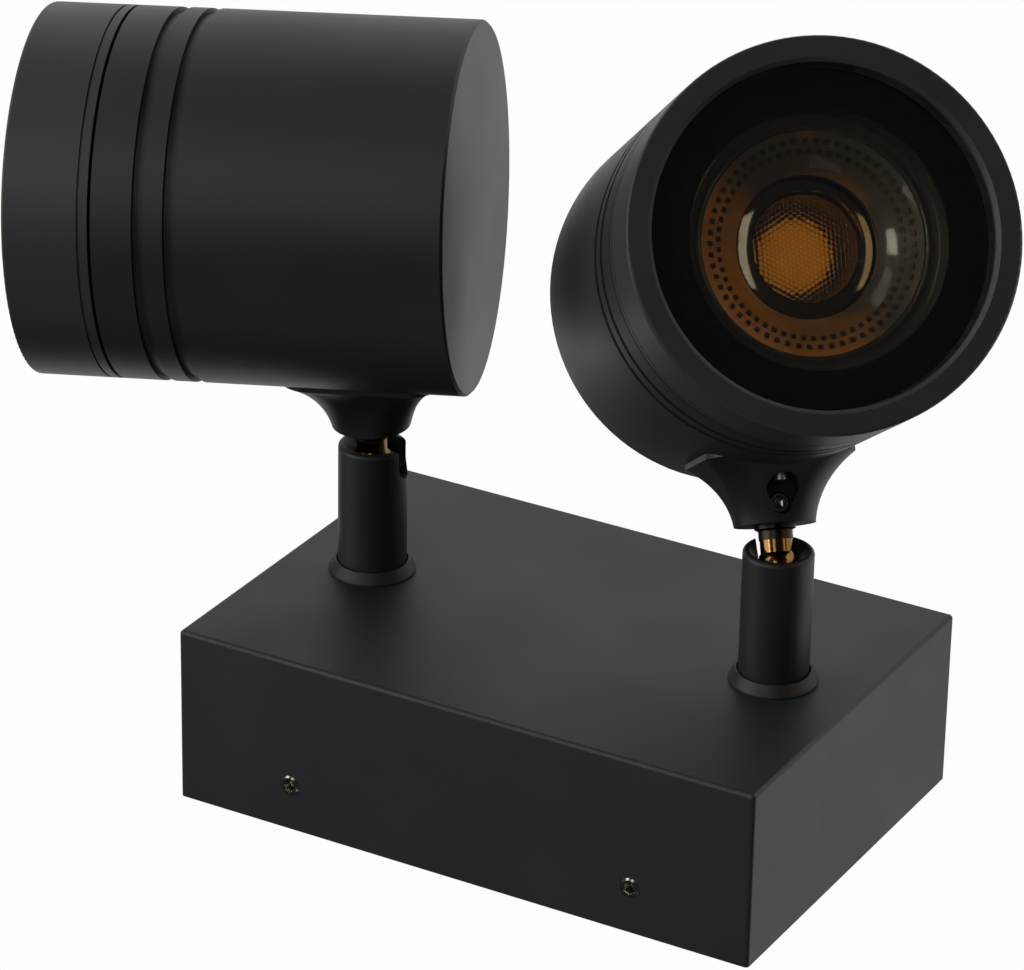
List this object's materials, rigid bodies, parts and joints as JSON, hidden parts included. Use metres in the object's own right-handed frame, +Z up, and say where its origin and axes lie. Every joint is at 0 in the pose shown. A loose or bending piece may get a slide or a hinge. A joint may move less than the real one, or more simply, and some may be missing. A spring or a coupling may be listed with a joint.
{
  "type": "twin spotlight wall light",
  "caption": "Wall light with a rectangular wall box and round spotlight heads that swivel and tilt on slotted stems.",
  "frame": {"origin": "middle of the wall box's back, in the plane of the wall", "axes": "+X along the wall box to the right of a person facing the wall, +Y into the wall, +Z up"},
  "size_m": [0.1987, 0.1625, 0.1134],
  "materials": {
    "housing_coat": "matt anthracite powder coat with a very fine grain",
    "head_coat": "matt anthracite powder coat with a very fine grain",
    "bezel_coat": "matt anthracite powder coat, a little smoother on its front face",
    "stem_coat": "matt black powder coat",
    "saddle_coat": "matt black powder coat on a casting",
    "flange_coat": "matt black powder coat",
    "set_screw_steel": "blackened steel, worn bright at the edge of the socket",
    "stud_brass": "turned brass, polished by wear",
    "collar_metal": "dark oxidised ring",
    "clear_glass": "clear hardened glass with a black printed border",
    "gasket_rubber": "black silicone",
    "bracket_steel": "zinc-plated sheet",
    "plated_screws": "zinc-plated steel",
    "hidden_steel": "zinc-plated steel",
    "grommet_rubber": "black rubber",
    "terminal_plastic": "off-white moulded plastic",
    "earth_brass": "brass",
    "seat_plastic": "natural nylon",
    "lamp_shell": "white moulded lamp shell",
    "lamp_lens_plastic": "clear moulded lens with a fine honeycomb of small lenses",
    "emitter_phosphor": "yellow phosphor",
    "pin_metal": "nickel-plated pins",
    "holder_ceramic": "glazed ceramic",
    "strap_steel": "zinc-plated strip"
  },
  "bodies": {
    "wall_box": {"base_housing": "housing_coat", "wall_bracket": "bracket_steel", "housing_lock_screws": "set_screw_steel", "cable_grommet": "grommet_rubber", "terminal_block": "terminal_plastic", "terminal_screws": "plated_screws", "earth_screw": "earth_brass", "stem_flange_left": "flange_coat", "stem_flange_right": "flange_coat"},
    "stem_left_body": {"stem_left": "stem_coat", "stem_washer_left": "hidden_steel", "stem_nut_left": "hidden_steel", "ball_seat_left": "seat_plastic", "seat_plug_left": "hidden_steel"},
    "head_left_assembly": {"ball_stud_left": "stud_brass", "neck_collar_left": "collar_metal", "saddle_left": "saddle_coat", "saddle_clamp_screw_left": "set_screw_steel", "head_body_left": "head_coat", "saddle_fixing_screws_left": "plated_screws", "front_bezel_left": "bezel_coat", "front_glass_left": "clear_glass", "glass_gasket_left": "gasket_rubber", "lamp_body_left": "lamp_shell", "lamp_glass_left": "clear_glass", "lamp_emitter_left": "emitter_phosphor", "lamp_lens_left": "lamp_lens_plastic", "lamp_pins_left": "pin_metal", "lamp_holder_left": "holder_ceramic", "holder_strap_left": "strap_steel", "strap_screws_left": "plated_screws"},
    "stem_right_body": {"stem_right": "stem_coat", "stem_washer_right": "hidden_steel", "stem_nut_right": "hidden_steel", "ball_seat_right": "seat_plastic", "seat_plug_right": "hidden_steel"},
    "head_right_assembly": {"ball_stud_right": "stud_brass", "neck_collar_right": "collar_metal", "saddle_right": "saddle_coat", "saddle_clamp_screw_right": "set_screw_steel", "head_body_right": "head_coat", "saddle_fixing_screws_right": "plated_screws", "front_bezel_right": "bezel_coat", "front_glass_right": "clear_glass", "glass_gasket_right": "gasket_rubber", "lamp_body_right": "lamp_shell", "lamp_glass_right": "clear_glass", "lamp_emitter_right": "emitter_phosphor", "lamp_lens_right": "lamp_lens_plastic", "lamp_pins_right": "pin_metal", "lamp_holder_right": "holder_ceramic", "holder_strap_right": "strap_steel", "strap_screws_right": "plated_screws"}
  },
  "joints": [
    {"name": "left_pan", "type": "hinge", "parent": "wall_box", "child": "stem_left_body", "pos_m": [-0.04275, -0.035, 0], "axis": [0, -1, 0], "range_deg": [-175, 4]},
    {"name": "left_tilt", "type": "hinge", "parent": "stem_left_body", "child": "head_left_assembly", "pos_m": [-0.04275, -0.058, 0], "axis": [0.7716, 0, 0.6361], "range_deg": [-20, 40]},
    {"name": "right_pan", "type": "hinge", "parent": "wall_box", "child": "stem_right_body", "pos_m": [0.04275, -0.035, 0], "axis": [0, -1, 0], "range_deg": [-10, 24]},
    {"name": "right_tilt", "type": "hinge", "parent": "stem_right_body", "child": "head_right_assembly", "pos_m": [0.04275, -0.058, 0], "axis": [0.3387, 0, -0.9409], "range_deg": [-18, 4]}
  ]
}
